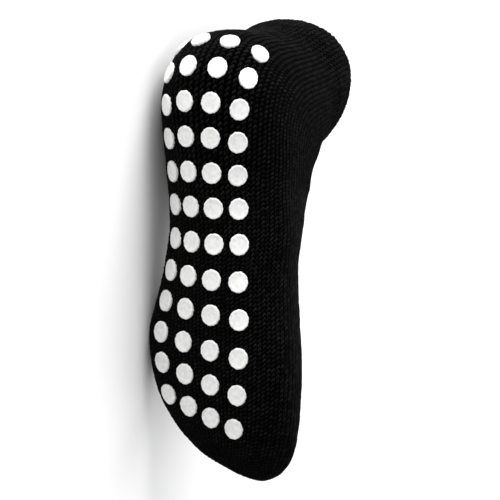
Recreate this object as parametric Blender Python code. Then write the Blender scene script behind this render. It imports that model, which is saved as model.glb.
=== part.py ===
"""Slipper sock for the left foot, lying on its outer side, with printed grips under the sole.

Metres, +Z up.  +X runs from heel to toe, +Y from sole to cuff, +Z from the outer to the inner side.
"""
import math
from collections import namedtuple

import bmesh
import bpy
import numpy as np
from mathutils import Vector
from mathutils.bvhtree import BVHTree

# Sizes over the knit
FOOT_LENGTH = 0.266
BALL_WIDTH = 0.097
WAIST_WIDTH = 0.079
HEEL_WIDTH = 0.081
ANKLE_WIDTH = 0.079
CUFF_WIDTH = 0.083
TOE_HEIGHT = 0.038
BALL_HEIGHT = 0.052
INSTEP_HEIGHT = 0.080
ANKLE_HEIGHT = 0.096
SHAFT_HEIGHT = 0.126
ANKLE_DEPTH = 0.081
CUFF_DEPTH = 0.083
ACHILLES_HOLLOW = 0.005
ARCH_LIFT = 0.008
TOE_SPRING = 0.006
FLOOR_PRESS = 0.001
TOE_BLUNT = 3.0
TOE_SQUARE = 2.8

# Wall of the knit and its turned welt
WALL = 0.0026
WELT_HEIGHT = 0.014
WELT_RAISE = 0.0004
WELT_STEP = 0.0040
RIM_CROWN = 0.0009
TIP_CROWN = 0.0008
INNER_CROWN = 0.0003

# Printed grips
GRIP_WIDTH = 0.0115
GRIP_OVAL = 1.10
GRIPS_PER_ROW = 4
GRIP_THICK = 0.0012
GRIP_GAP = 0.0003
FACET_REACH = 0.004
GRIP_BEVEL = 0.86
GRIP_EDGE = 0.6

# Mesh divisions
AROUND = 44
DENSE_ROWS = 260
DENSE_AROUND = 176
TOE_ROWS = 6
FOOT_ROWS = 17
TURN_ROWS = 15
SHAFT_ROWS = 4
GRIP_POINTS = 14

Section = namedtuple(
    "Section", "sole_x sole_y top_x top_y lift width lean widest sole_round top_round arch")
GripRow = namedtuple("GripRow", "along middle pitch")
Spot = namedtuple("Spot", "across along")

# Rows of grips: distance from the heel back along the sole, middle of the row and pitch
GRIP_ROWS = [
    GripRow(0.067 * FOOT_LENGTH, 0.000 * BALL_WIDTH, 0.200 * BALL_WIDTH),
    GripRow(0.147 * FOOT_LENGTH, -0.001 * BALL_WIDTH, 0.200 * BALL_WIDTH),
    GripRow(0.227 * FOOT_LENGTH, -0.010 * BALL_WIDTH, 0.180 * BALL_WIDTH),
    GripRow(0.306 * FOOT_LENGTH, -0.018 * BALL_WIDTH, 0.170 * BALL_WIDTH),
    GripRow(0.386 * FOOT_LENGTH, -0.023 * BALL_WIDTH, 0.160 * BALL_WIDTH),
    GripRow(0.466 * FOOT_LENGTH, -0.035 * BALL_WIDTH, 0.155 * BALL_WIDTH),
    GripRow(0.546 * FOOT_LENGTH, -0.047 * BALL_WIDTH, 0.155 * BALL_WIDTH),
    GripRow(0.626 * FOOT_LENGTH, -0.060 * BALL_WIDTH, 0.165 * BALL_WIDTH),
    GripRow(0.705 * FOOT_LENGTH, -0.074 * BALL_WIDTH, 0.180 * BALL_WIDTH),
    GripRow(0.785 * FOOT_LENGTH, -0.086 * BALL_WIDTH, 0.190 * BALL_WIDTH),
    GripRow(0.865 * FOOT_LENGTH, -0.095 * BALL_WIDTH, 0.185 * BALL_WIDTH),
    GripRow(0.945 * FOOT_LENGTH, -0.101 * BALL_WIDTH, 0.165 * BALL_WIDTH),
]


def foot_sections():
    """Rows from the toe, under the foot and round the heel to the cuff."""
    length = FOOT_LENGTH
    ball = BALL_WIDTH
    waist = WAIST_WIDTH
    heel = HEEL_WIDTH
    press = FLOOR_PRESS
    ankle = ANKLE_HEIGHT
    shaft = SHAFT_HEIGHT
    front = ACHILLES_HOLLOW + ANKLE_DEPTH
    middle = ACHILLES_HOLLOW + 0.5 * ANKLE_DEPTH
    cuff_back = middle - 0.52 * CUFF_DEPTH
    cuff_front = middle + 0.48 * CUFF_DEPTH
    instep = INSTEP_HEIGHT
    spring = TOE_SPRING
    neck = ANKLE_WIDTH
    return [
        Section(0.965 * length, 0.75 * spring, 0.965 * length, 0.95 * TOE_HEIGHT,
                0.10 * ball, 0.84 * ball, 0.42, 0.46, 2.3, 2.2, 0.0),
        Section(0.88 * length, 0.60 * spring, 0.88 * length, 1.02 * TOE_HEIGHT,
                0.05 * ball, 0.92 * ball, 0.38, 0.44, 2.3, 2.2, 0.0),
        Section(0.79 * length, 0.20 * spring, 0.79 * length, 0.84 * BALL_HEIGHT,
                0.01 * ball, 0.985 * ball, 0.30, 0.42, 2.3, 2.2, 0.0),
        Section(0.70 * length, 0.0, 0.70 * length, 1.00 * BALL_HEIGHT,
                -press, 1.00 * ball, 0.20, 0.42, 2.2, 2.1, 0.0),
        Section(0.61 * length, 0.0, 0.60 * length, 1.20 * BALL_HEIGHT,
                0.03 * ball, 0.91 * ball, 0.12, 0.42, 2.1, 2.0, 0.3),
        Section(0.52 * length, 0.0, 0.51 * length, 0.90 * instep,
                0.065 * ball, 1.02 * waist, 0.05, 0.42, 2.05, 2.0, 0.8),
        Section(0.43 * length, 0.02 * instep, 0.440 * length, 1.04 * instep,
                0.070 * ball, 1.00 * waist, 0.0, 0.43, 2.05, 2.05, 1.0),
        Section(0.34 * length, 0.02 * instep, front + 0.073 * length, 0.965 * ankle,
                0.045 * ball, 0.99 * waist, 0.0, 0.45, 2.1, 2.2, 0.7),
        Section(0.26 * length, 0.01 * instep, front + 0.069 * length, 1.035 * ankle,
                0.02 * ball, 0.98 * heel, 0.0, 0.47, 2.15, 2.45, 0.3),
        Section(0.18 * length, 0.0, front + 0.060 * length, 1.07 * ankle,
                0.0, 1.00 * heel, 0.0, 0.48, 2.25, 2.55, 0.1),
        Section(0.105 * length, 0.01 * ankle, front + 0.051 * length, 1.09 * ankle,
                -press, 1.01 * heel, 0.0, 0.48, 2.3, 2.6, 0.0),
        Section(0.045 * length, 0.08 * ankle, front + 0.043 * length, 1.11 * ankle,
                -0.5 * press, 1.005 * heel, 0.0, 0.48, 2.3, 2.6, 0.0),
        Section(0.010 * length, 0.22 * ankle, front + 0.035 * length, 1.13 * ankle,
                0.0, 1.00 * heel, 0.0, 0.48, 2.3, 2.55, 0.0),
        Section(0.0, 0.40 * ankle, front + 0.028 * length, 1.15 * ankle,
                0.002 * ball, 1.02 * neck, 0.0, 0.48, 2.2, 2.45, 0.0),
        Section(0.006 * length, 0.60 * ankle, front + 0.020 * length, 1.165 * ankle,
                0.003 * ball, 1.01 * neck, 0.0, 0.47, 2.15, 2.3, 0.0),
        Section(0.014 * length, 0.80 * ankle, front + 0.013 * length, 1.185 * ankle,
                0.005 * ball, 1.00 * neck, 0.0, 0.46, 2.1, 2.15, 0.0),
        Section(0.017 * length, 1.00 * ankle, front + 0.007 * length, 1.205 * ankle,
                0.006 * ball, 1.00 * neck, 0.0, 0.45, 2.1, 2.0, 0.0),
        Section(0.5 * ACHILLES_HOLLOW, 0.88 * shaft, front + 0.002 * length, 0.94 * shaft,
                0.005 * ball, 0.5 * (neck + CUFF_WIDTH), 0.0, 0.43, 2.1, 1.8, 0.0),
        Section(cuff_back, 1.00 * shaft, cuff_front, 0.98 * shaft,
                -press, 1.00 * CUFF_WIDTH, 0.0, 0.41, 2.1, 1.8, 0.0),
    ]


def natural_spline(knots, values, at):
    """Natural cubic through the section rows."""
    count = len(knots)
    gap = np.diff(knots)
    matrix = np.zeros((count, count))
    right = np.zeros(values.shape)
    matrix[0, 0] = 1.0
    matrix[-1, -1] = 1.0
    for i in range(1, count - 1):
        matrix[i, i - 1] = gap[i - 1]
        matrix[i, i] = 2.0 * (gap[i - 1] + gap[i])
        matrix[i, i + 1] = gap[i]
        rise = (values[i + 1] - values[i]) / gap[i]
        fall = (values[i] - values[i - 1]) / gap[i - 1]
        right[i] = 6.0 * (rise - fall)
    bend = np.linalg.solve(matrix, right)
    i = np.clip(np.searchsorted(knots, at, side="right") - 1, 0, count - 2)
    a = ((knots[i + 1] - at) / gap[i])[:, None]
    b = ((at - knots[i]) / gap[i])[:, None]
    span = gap[i][:, None] ** 2 / 6.0
    line = a * values[i] + b * values[i + 1]
    return line + ((a ** 3 - a) * bend[i] + (b ** 3 - b) * bend[i + 1]) * span


def section_ring(row, close_up, close_side, count):
    """One closed outline, from the middle of the sole round by the inner side."""
    turn = np.linspace(0.0, 2.0 * math.pi, 721)[:-1]
    side = np.sin(turn)
    up = -np.cos(turn)
    low = up < 0.0
    power = 2.0 / np.where(low, row.sole_round, row.top_round)
    up = np.sign(up) * np.abs(up) ** power
    side = np.sign(side) * np.abs(side) ** power
    share = row.widest + np.where(low, row.widest, 1.0 - row.widest) * up
    share = 0.5 + (share - 0.5) * close_up
    offset = 0.5 * row.width * close_side * side
    from_arch = (np.degrees(turn) - 48.0 + 180.0) % 360.0 - 180.0
    arch = ARCH_LIFT * row.arch * np.exp(-(from_arch / 28.0) ** 2)
    x = row.sole_x + (row.top_x - row.sole_x) * share + row.lean * offset
    y = row.sole_y + (row.top_y - row.sole_y) * share + arch
    z = row.lift + 0.5 * row.width + offset
    ring = np.stack([x, y, z], axis=1)
    closed = np.vstack([ring, ring[:1]])
    run = np.concatenate([[0.0], np.cumsum(np.linalg.norm(np.diff(closed, axis=0), axis=1))])
    even = np.linspace(0.0, run[-1], count + 1)[:-1]
    return np.stack([np.interp(even, run, closed[:, k]) for k in range(3)], axis=1)


def dense_form():
    """Fine grid of the outer surface, rows from the toe to the rim."""
    table = np.array([list(row) for row in foot_sections()])
    sole_step = np.linalg.norm(np.diff(table[:, 0:2], axis=0), axis=1)
    top_step = np.linalg.norm(np.diff(table[:, 2:4], axis=0), axis=1)
    knots = np.concatenate([[0.0], np.cumsum(0.7 * sole_step + 0.3 * top_step)])
    toe = knots[2]
    toe_count = DENSE_ROWS // 4
    near = toe * (1.0 - np.sin(np.linspace(math.asin(0.996), 0.0, toe_count)))
    far = np.linspace(toe, knots[-1], DENSE_ROWS - toe_count + 1)[1:]
    stations = np.concatenate([near, far])
    rings = []
    for at, values in zip(stations, natural_spline(knots, table, stations)):
        q = max(0.0, 1.0 - at / toe)
        close_up = (1.0 - q ** TOE_BLUNT) ** (1.0 / TOE_BLUNT)
        close_side = (1.0 - q ** TOE_SQUARE) ** (1.0 / TOE_SQUARE)
        rings.append(section_ring(Section(*values), close_up, close_side, DENSE_AROUND))
    form = np.array(rings)
    form[:, :, 0] *= FOOT_LENGTH / form[:, :, 0].max()
    return form


FORM = dense_form()


def form_normals():
    """Outward normals of the fine grid."""
    along = np.gradient(FORM, axis=0)
    across = np.roll(FORM, -1, axis=1) - np.roll(FORM, 1, axis=1)
    normals = np.cross(along, across)
    normals /= np.linalg.norm(normals, axis=2, keepdims=True)
    centre = FORM.mean(axis=1, keepdims=True)
    if np.sum(normals * (FORM - centre)) < 0.0:
        normals = -normals
    return normals


NORMALS = form_normals()
SOLE_LINE = FORM[:, 0, :]
SOLE_RUN = np.concatenate([[0.0], np.cumsum(np.linalg.norm(np.diff(SOLE_LINE, axis=0), axis=1))])
HEEL_RUN = SOLE_RUN[int(np.argmin(SOLE_LINE[:, 0] + 0.001 * SOLE_LINE[:, 1]))]


def blend(field, row, turn):
    """Value of a fine grid at a fractional row and share of the girth."""
    row = min(max(row, 0.0), DENSE_ROWS - 1.001)
    step = (turn % 1.0) * DENSE_AROUND
    r = int(row)
    c = int(step) % DENSE_AROUND
    d = (c + 1) % DENSE_AROUND
    fr = row - r
    fc = step - int(step)
    near = field[r, c] * (1.0 - fc) + field[r, d] * fc
    far = field[r + 1, c] * (1.0 - fc) + field[r + 1, d] * fc
    return near * (1.0 - fr) + far * fr


def skin(row, turn, height):
    """Point at a height over the outer surface, kept above the floor."""
    normal = blend(NORMALS, row, turn)
    point = blend(FORM, row, turn) + normal / np.linalg.norm(normal) * height
    if height >= 0.0:
        point[2] = max(point[2], 0.0)
    else:
        point[2] = max(point[2], -height)
    return point


def row_at(run):
    """Fractional row at a distance along the sole line from the toe."""
    return float(np.interp(run, SOLE_RUN, np.arange(DENSE_ROWS)))


def make_mesh(name, points, faces, material):
    """New mesh object with smooth faces turned outwards."""
    mesh = bpy.data.meshes.new(name)
    mesh.from_pydata([tuple(p) for p in points], [], faces)
    mesh.validate()
    shape = bmesh.new()
    shape.from_mesh(mesh)
    bmesh.ops.recalc_face_normals(shape, faces=shape.faces)
    if shape.calc_volume(signed=True) < 0.0:
        bmesh.ops.reverse_faces(shape, faces=shape.faces)
    bmesh.ops.triangulate(shape, faces=shape.faces)
    for face in shape.faces:
        face.smooth = True
    shape.to_mesh(mesh)
    shape.free()
    mesh.materials.append(material)
    part = bpy.data.objects.new(name, mesh)
    bpy.context.collection.objects.link(part)
    return part


def make_material(name, colour, roughness):
    """Plain surface of one colour."""
    material = bpy.data.materials.new(name)
    material.use_nodes = True
    surface = material.node_tree.nodes["Principled BSDF"]
    surface.inputs["Base Color"].default_value = (*colour, 1.0)
    surface.inputs["Roughness"].default_value = roughness
    return material


def join_rings(first, second, count):
    """Quads between two rings of the same number of points."""
    return [
        (first + i, first + (i + 1) % count, second + (i + 1) % count, second + i)
        for i in range(count)
    ]


def body_rows():
    """Rows of the knit with their lift over the outer surface."""
    rim = SOLE_RUN[-1]
    toe_end = 0.10 * FOOT_LENGTH
    turn_start = HEEL_RUN - 0.26 * FOOT_LENGTH
    turn_end = HEEL_RUN + 0.12 * FOOT_LENGTH
    welt = rim - WELT_HEIGHT
    runs = [(toe_end * (i / TOE_ROWS) ** 1.6, 0.0) for i in range(TOE_ROWS)]
    runs += [(toe_end + (turn_start - toe_end) * i / FOOT_ROWS, 0.0) for i in range(FOOT_ROWS)]
    runs += [(turn_start + (turn_end - turn_start) * i / TURN_ROWS, 0.0) for i in range(TURN_ROWS)]
    last = welt - WELT_STEP
    runs += [(turn_end + (last - turn_end) * i / SHAFT_ROWS, 0.0) for i in range(SHAFT_ROWS + 1)]
    runs += [(welt, WELT_RAISE), (0.5 * (welt + rim), WELT_RAISE), (rim, WELT_RAISE)]
    return [(row_at(run), lift) for run, lift in runs]


def knit_sock(material):
    """Hollow body, outer skin, rounded rim and inner skin in one solid."""
    rows = body_rows()
    turns = [i / AROUND for i in range(AROUND)]
    points = [FORM[0].mean(axis=0) + np.array([TIP_CROWN, 0.0, 0.0])]
    faces = []
    rings = []
    for row, lift in rows:
        rings.append(len(points))
        points += [skin(row, turn, lift) for turn in turns]
    rim = points[rings[-1]:rings[-1] + AROUND]
    inner_rim = [skin(rows[-1][0], turn, -WALL) for turn in turns]
    rings.append(len(points))
    for outer, inner in zip(rim, inner_rim):
        points.append(0.5 * (outer + inner) + np.array([0.0, RIM_CROWN, 0.0]))
    welt_rows = rows[-1:] + rows[-3:-2]
    body = rows[1:-3]
    for row, lift in welt_rows + body[-3:0:-2] + body[:1]:
        rings.append(len(points))
        points += [skin(row, turn, -WALL) for turn in turns]
    inner_tip = len(points)
    last_ring = points[rings[-1]:rings[-1] + AROUND]
    points.append(np.mean(last_ring, axis=0) + np.array([INNER_CROWN, 0.0, 0.0]))
    faces += [(0, rings[0] + (i + 1) % AROUND, rings[0] + i) for i in range(AROUND)]
    for first, second in zip(rings, rings[1:]):
        faces += join_rings(first, second, AROUND)
    faces += [(inner_tip, rings[-1] + i, rings[-1] + (i + 1) % AROUND) for i in range(AROUND)]
    return make_mesh("knit_sock", points, faces, material)


def grip_outline():
    """Outline of one grip in radii: a plain oval dot, longer along the foot."""
    turns = [2.0 * math.pi * i / GRIP_POINTS for i in range(GRIP_POINTS)]
    return [Spot(math.cos(turn), GRIP_OVAL * math.sin(turn)) for turn in turns]


def facet_lift(tree, row, turn):
    """How far the facets of the knit stand over the true surface."""
    normal = blend(NORMALS, row, turn)
    normal /= np.linalg.norm(normal)
    point = blend(FORM, row, turn)
    hit = tree.ray_cast(Vector(point + normal * FACET_REACH), Vector(-normal), 2.0 * FACET_REACH)[0]
    if hit is None:
        return 0.0
    return max(0.0, float(np.dot(np.array(hit) - point, normal)))


def grip(name, run, offset, tree, material):
    """One printed grip that follows the sole."""
    girth_row = row_at(run)
    ring = FORM[int(round(girth_row))]
    girth = np.sum(np.linalg.norm(np.roll(ring, -1, axis=0) - ring, axis=1))
    turn = offset / girth
    rise = blend(FORM, girth_row + 0.5, turn) - blend(FORM, girth_row - 0.5, turn)
    swing = (blend(FORM, girth_row, turn + 0.01) - blend(FORM, girth_row, turn - 0.01)) / 0.02
    heelward = rise / np.linalg.norm(rise)
    across = swing - heelward * np.dot(swing, heelward)
    frame = np.array([rise, swing]).T
    across /= np.linalg.norm(across)
    radius = 0.5 * GRIP_WIDTH

    def place(point, scale, height):
        target = radius * scale * (point.across * across + point.along * heelward)
        move = np.linalg.lstsq(frame, target, rcond=None)[0]
        row = girth_row + move[0]
        share = turn + move[1]
        return skin(row, share, facet_lift(tree, row, share) + GRIP_GAP + height)

    outline = grip_outline()
    count = len(outline)
    centre = Spot(0.0, 0.0)
    points = [place(centre, 1.0, 0.0)]
    points += [place(point, 0.5, 0.0) for point in outline]
    points += [place(point, 1.0, 0.0) for point in outline]
    points += [place(point, 1.0, GRIP_EDGE * GRIP_THICK) for point in outline]
    points += [place(point, GRIP_BEVEL, GRIP_THICK) for point in outline]
    points.append(place(centre, 1.0, GRIP_THICK))
    top = len(points) - 1
    faces = [(0, 1 + (i + 1) % count, 1 + i) for i in range(count)]
    rings = [1 + step * count for step in range(4)]
    for first, second in zip(rings, rings[1:]):
        faces += join_rings(first, second, count)
    faces += [(top, rings[-1] + i, rings[-1] + (i + 1) % count) for i in range(count)]
    return make_mesh(name, points, faces, material)


def build():
    """All pieces, moved so that the origin is the middle of the footprint on the floor."""
    for old in list(bpy.data.objects):
        bpy.data.objects.remove(old, do_unlink=True)
    yarn = make_material("black_yarn", (0.012, 0.012, 0.013), 0.95)
    print_white = make_material("white_grip", (0.78, 0.78, 0.77), 0.55)
    sock = knit_sock(yarn)
    tree = BVHTree.FromPolygons(
        [vertex.co[:] for vertex in sock.data.vertices],
        [face.vertices[:] for face in sock.data.polygons])
    parts = [sock]
    for number, row in enumerate(GRIP_ROWS, start=1):
        for column in range(GRIPS_PER_ROW):
            offset = row.middle + (column - 0.5 * (GRIPS_PER_ROW - 1)) * row.pitch
            name = f"grip_r{number:02d}_c{column + 1}"
            parts.append(grip(name, HEEL_RUN - row.along, offset, tree, print_white))
    corners = np.array([vertex.co[:] for part in parts for vertex in part.data.vertices])
    low = corners.min(axis=0)
    high = corners.max(axis=0)
    shift = (-0.5 * (low[0] + high[0]), -0.5 * (low[1] + high[1]), -low[2])
    for part in parts:
        for vertex in part.data.vertices:
            vertex.co.x += shift[0]
            vertex.co.y += shift[1]
            vertex.co.z += shift[2]
        part.data.update()


build()
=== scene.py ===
import math
import bmesh
import bpy
import numpy as np
from mathutils import Matrix, Vector


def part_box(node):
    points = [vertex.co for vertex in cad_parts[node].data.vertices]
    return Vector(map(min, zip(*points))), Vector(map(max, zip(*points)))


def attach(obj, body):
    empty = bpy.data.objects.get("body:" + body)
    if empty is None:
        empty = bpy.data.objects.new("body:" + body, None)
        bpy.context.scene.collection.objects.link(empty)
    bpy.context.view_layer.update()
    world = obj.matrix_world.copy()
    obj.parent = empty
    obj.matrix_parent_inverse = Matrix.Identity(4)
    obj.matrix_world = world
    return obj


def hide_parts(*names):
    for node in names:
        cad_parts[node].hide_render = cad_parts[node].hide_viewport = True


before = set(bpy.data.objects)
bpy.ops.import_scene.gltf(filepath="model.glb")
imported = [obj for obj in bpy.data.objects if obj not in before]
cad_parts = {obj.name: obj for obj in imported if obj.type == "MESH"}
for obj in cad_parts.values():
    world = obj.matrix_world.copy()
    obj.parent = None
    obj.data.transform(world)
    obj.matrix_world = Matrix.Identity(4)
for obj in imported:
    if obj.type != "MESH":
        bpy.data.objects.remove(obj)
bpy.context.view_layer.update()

# form of the worn sock: +X heel to toe, +Y sole to cuff, +Z outer to inner side, in metres
form = {
    "footLength": 0.266,
    "ballWidth": 0.097,
    "waistWidth": 0.079,
    "heelWidth": 0.081,
    "ankleWidth": 0.079,
    "cuffWidth": 0.083,
    "toeHeight": 0.038,
    "ballHeight": 0.052,
    "instepHeight": 0.080,
    "ankleHeight": 0.096,
    "shaftHeight": 0.126,
    "ankleDepth": 0.081,
    "cuffDepth": 0.083,
    "achillesHollow": 0.005,
    "archLift": 0.008,
    "toeSpring": 0.006,
    "floorPress": 0.001,     # how far the outer side is pressed flat
    "toeBlunt": 3.0,
    "toeSquare": 2.8,
    "archAngle": 48.0,       # degrees round from the middle of the sole
    "archSpread": 28.0,
    "outlineSteps": 720,
    "knotShares": (0.7, 0.3),    # how much the sole and the top count in the spacing of the sections
}


def footRows():
    # each section: sole x, sole y, top x and top y,
    # then lift, width, lean, widest share, sole roundness, top roundness and arch
    long, press, spring = form["footLength"], form["floorPress"], form["toeSpring"]
    ball, waist, heel = form["ballWidth"], form["waistWidth"], form["heelWidth"]
    neck, cuff = form["ankleWidth"], form["cuffWidth"]
    toe, over, step = form["toeHeight"], form["ballHeight"], form["instepHeight"]
    ankle, shaft = form["ankleHeight"], form["shaftHeight"]
    front = form["achillesHollow"] + form["ankleDepth"]
    middle = form["achillesHollow"] + 0.5 * form["ankleDepth"]
    cuffBack, cuffFront = middle - 0.52 * form["cuffDepth"], middle + 0.48 * form["cuffDepth"]
    return np.array([
        (0.965 * long, 0.75 * spring, 0.965 * long, 0.95 * toe,
         0.10 * ball, 0.84 * ball, 0.42, 0.46, 2.3, 2.2, 0),
        (0.88 * long, 0.60 * spring, 0.88 * long, 1.02 * toe,
         0.05 * ball, 0.92 * ball, 0.38, 0.44, 2.3, 2.2, 0),
        (0.79 * long, 0.20 * spring, 0.79 * long, 0.84 * over,
         0.01 * ball, 0.985 * ball, 0.30, 0.42, 2.3, 2.2, 0),
        (0.70 * long, 0, 0.70 * long, 1.00 * over,
         -press, 1.00 * ball, 0.20, 0.42, 2.2, 2.1, 0),
        (0.61 * long, 0, 0.60 * long, 1.20 * over,
         0.03 * ball, 0.91 * ball, 0.12, 0.42, 2.1, 2.0, 0.3),
        (0.52 * long, 0, 0.51 * long, 0.90 * step,
         0.065 * ball, 1.02 * waist, 0.05, 0.42, 2.05, 2.0, 0.8),
        (0.43 * long, 0.02 * step, 0.440 * long, 1.04 * step,
         0.070 * ball, 1.00 * waist, 0, 0.43, 2.05, 2.05, 1.0),
        (0.34 * long, 0.02 * step, front + 0.073 * long, 0.965 * ankle,
         0.045 * ball, 0.99 * waist, 0, 0.45, 2.1, 2.2, 0.7),
        (0.26 * long, 0.01 * step, front + 0.069 * long, 1.035 * ankle,
         0.02 * ball, 0.98 * heel, 0, 0.47, 2.15, 2.45, 0.3),
        (0.18 * long, 0, front + 0.060 * long, 1.07 * ankle,
         0, 1.00 * heel, 0, 0.48, 2.25, 2.55, 0.1),
        (0.105 * long, 0.01 * ankle, front + 0.051 * long, 1.09 * ankle,
         -press, 1.01 * heel, 0, 0.48, 2.3, 2.6, 0),
        (0.045 * long, 0.08 * ankle, front + 0.043 * long, 1.11 * ankle,
         -0.5 * press, 1.005 * heel, 0, 0.48, 2.3, 2.6, 0),
        (0.010 * long, 0.22 * ankle, front + 0.035 * long, 1.13 * ankle,
         0, 1.00 * heel, 0, 0.48, 2.3, 2.55, 0),
        (0, 0.40 * ankle, front + 0.028 * long, 1.15 * ankle,
         0.002 * ball, 1.02 * neck, 0, 0.48, 2.2, 2.45, 0),
        (0.006 * long, 0.60 * ankle, front + 0.020 * long, 1.165 * ankle,
         0.003 * ball, 1.01 * neck, 0, 0.47, 2.15, 2.3, 0),
        (0.014 * long, 0.80 * ankle, front + 0.013 * long, 1.185 * ankle,
         0.005 * ball, 1.00 * neck, 0, 0.46, 2.1, 2.15, 0),
        (0.017 * long, 1.00 * ankle, front + 0.007 * long, 1.205 * ankle,
         0.006 * ball, 1.00 * neck, 0, 0.45, 2.1, 2.0, 0),
        (0.5 * form["achillesHollow"], 0.88 * shaft, front + 0.002 * long, 0.94 * shaft,
         0.005 * ball, 0.5 * (neck + cuff), 0, 0.43, 2.1, 1.8, 0),
        (cuffBack, 1.00 * shaft, cuffFront, 0.98 * shaft,
         -press, 1.00 * cuff, 0, 0.41, 2.1, 1.8, 0),
    ])


def naturalSpline(knots, values, at):
    count = len(knots)
    gap = np.diff(knots)
    matrix, right = np.zeros((count, count)), np.zeros(values.shape)
    matrix[0, 0] = matrix[-1, -1] = 1.0
    for i in range(1, count - 1):
        matrix[i, i - 1:i + 2] = gap[i - 1], 2.0 * (gap[i - 1] + gap[i]), gap[i]
        right[i] = 6.0 * ((values[i + 1] - values[i]) / gap[i] - (values[i] - values[i - 1]) / gap[i - 1])
    bend = np.linalg.solve(matrix, right)
    i = np.clip(np.searchsorted(knots, at, side="right") - 1, 0, count - 2)
    a, b = ((knots[i + 1] - at) / gap[i])[:, None], ((at - knots[i]) / gap[i])[:, None]
    curve = ((a ** 3 - a) * bend[i] + (b ** 3 - b) * bend[i + 1]) * gap[i][:, None] ** 2 / 6.0
    return a * values[i] + b * values[i + 1] + curve


def sectionRing(row, closeUp, closeSide, count):
    # one closed outline from the middle of the sole round by the inner side, evenly spaced
    soleX, soleY, topX, topY, lift, width, lean, widest, soleRound, topRound, arch = row
    turn = np.linspace(0.0, 2.0 * math.pi, form["outlineSteps"] + 1)[:-1]
    side, up = np.sin(turn), -np.cos(turn)
    low = up < 0.0
    power = 2.0 / np.where(low, soleRound, topRound)
    up, side = np.sign(up) * np.abs(up) ** power, np.sign(side) * np.abs(side) ** power
    share = widest + np.where(low, widest, 1.0 - widest) * up
    share = 0.5 + (share - 0.5) * closeUp
    offset = 0.5 * width * closeSide * side
    fromArch = (np.degrees(turn) - form["archAngle"] + 180.0) % 360.0 - 180.0
    hollow = form["archLift"] * arch * np.exp(-(fromArch / form["archSpread"]) ** 2)
    ring = np.stack([soleX + (topX - soleX) * share + lean * offset,
                     soleY + (topY - soleY) * share + hollow,
                     lift + 0.5 * width + offset], axis=1)
    closed = np.vstack([ring, ring[:1]])
    run = np.concatenate([[0.0], np.cumsum(np.linalg.norm(np.diff(closed, axis=0), axis=1))])
    even = np.linspace(0.0, run[-1], count + 1)[:-1]
    return np.stack([np.interp(even, run, closed[:, k]) for k in range(3)], axis=1)


formRows = footRows()
soleGaps = np.linalg.norm(np.diff(formRows[:, 0:2], axis=0), axis=1)
topGaps = np.linalg.norm(np.diff(formRows[:, 2:4], axis=0), axis=1)
soleShare, topShare = form["knotShares"]
formKnots = np.concatenate([[0.0], np.cumsum(soleShare * soleGaps + topShare * topGaps)])
toeReach = formKnots[2]


def formRings(stations, count):
    rings = []
    for at, values in zip(stations, naturalSpline(formKnots, formRows, stations)):
        q = max(0.0, 1.0 - at / toeReach)
        closeUp = (1.0 - q ** form["toeBlunt"]) ** (1.0 / form["toeBlunt"])
        closeSide = (1.0 - q ** form["toeSquare"]) ** (1.0 / form["toeSquare"])
        rings.append(sectionRing(values, closeUp, closeSide, count))
    return np.array(rings)


# knitted cloth: 88 wales run along the foot and up the leg, courses run round it
knit = {
    "wales": 88,
    "columnsPerWale": 6,
    "rowsPerCourse": 4,
    "courseHeight": 0.0025,
    "toeCapReach": 0.034,    # surface from the tip to the first full course
    "wall": 0.0026,
    "relief": 0.00105,       # stitch over its groove
    "sink": 0.00060,         # groove under the smooth form
    "waleWidth": 0.0027,
    "legApart": 0.245,       # legs of one stitch from the wale's middle, in wales
    "legTilt": 27.0,         # degrees
    "legAhead": 0.17,        # how far one leg sits ahead of the other, in courses
    "waleGap": (0.55, 0.20), # height that is left between wales, close together and stretched apart
    "waleSpread": (0.0029, 0.0037),
    "ribRound": 0.6,         # how full a wale is across
    "uneven": 0.30,          # how much one stitch differs from the next
    "chanceTurns": (12.9898, 78.233),    # a fixed scatter over wales and courses
    "chanceScale": 43758.5453,
    "offLine": 0.16,         # how far a wale runs ahead of its neighbours, in courses
    "offLineTurns": (2.4, 0.9, 1.7, 0.11),       # radians a wale, its jitter twice, radians a course
    "sway": 0.05,            # how far a wale bends to the side, in wales
    "swayTurns": (1.3, 2.0),                     # radians a course and a wale
    "legWide": 0.00060,
    "legLong": 0.00138,
    "pulled": 0.60,          # how far the stitches of the sides are pulled into cords
    "pulledFrom": (0.15, 0.25),          # shares of the girth from the sole
    "pulledTo": (0.38, 0.46),
    "courseOpening": (0.0007, 0.0016),   # courses from bunched to open
    "openShares": (0.10, 0.90),          # opening of a bunched course, and what an open one adds
    "reliefShares": (0.55, 0.45),        # the same for its relief
    "innerRelief": 0.00030,
    "innerShade": 0.35,      # how light the yarn is, as a set level of painted groove shade, where it isn't worked out stitch by stitch
    # rim and tip: their set levels of the same painted groove shade
    "rimShade": 0.5,
    "tipShade": 0.6,
    "sideLine": 0.235,       # where the toe's narrowing runs, share of the girth from the sole
    "linkRidge": 0.0006,     # linked closing across the toes
    "linkWidth": 0.0012,
    "linkFrom": (0.25, 0.5), # shares of the way from the first course to the tip
    "seamGroove": 0.0003,    # narrowing line that runs on from it
    "seamWidth": 0.0010,
    "seamFrom": (0.0, 0.08),
    "weltHeight": 0.014,     # turned welt at the cuff
    "weltRaise": 0.0004,
    "weltStep": 0.0040,
    "rimCrown": 0.0012,
    "rimSteps": 7,
    "rimCourse": 0.1,        # courses that each step round the rim takes up
    "weld": 0.000001,
    "wander": 0.00025,       # slow unevenness of the hand of the cloth
}
columns = knit["wales"] * knit["columnsPerWale"]
capRings = columns // 8      # a square ring has eight points more than the one inside it

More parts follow.
